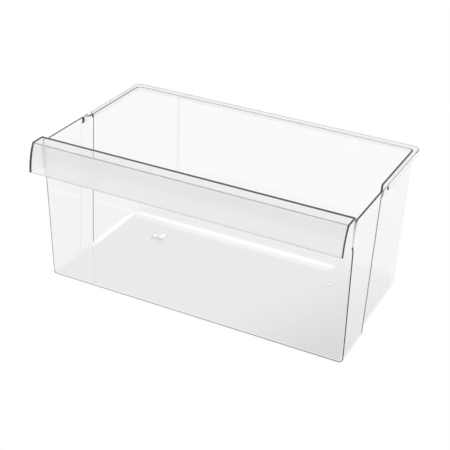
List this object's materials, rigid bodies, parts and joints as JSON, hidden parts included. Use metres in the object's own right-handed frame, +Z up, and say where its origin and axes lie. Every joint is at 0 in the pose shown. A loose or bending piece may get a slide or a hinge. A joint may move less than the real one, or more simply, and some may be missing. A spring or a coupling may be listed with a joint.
{
  "type": "fridge crisper drawer",
  "caption": "Clear moulded crisper drawer: an open tub with a hooked handle lip along its front, closed at both ends, stepped side walls and a skirted flange that rides on a fridge's runners.",
  "frame": {"origin": "middle of the bounding box on the underside of the floor", "axes": "+X across the drawer's width, +Y from the handle to the back, +Z up"},
  "size_m": [0.465, 0.292, 0.227],
  "materials": {
    "clear_plastic": "water-clear and polished, with a satin front on the handle's apron"
  },
  "bodies": {
    "root": {"crisper_drawer": "clear_plastic"}
  },
  "joints": []
}
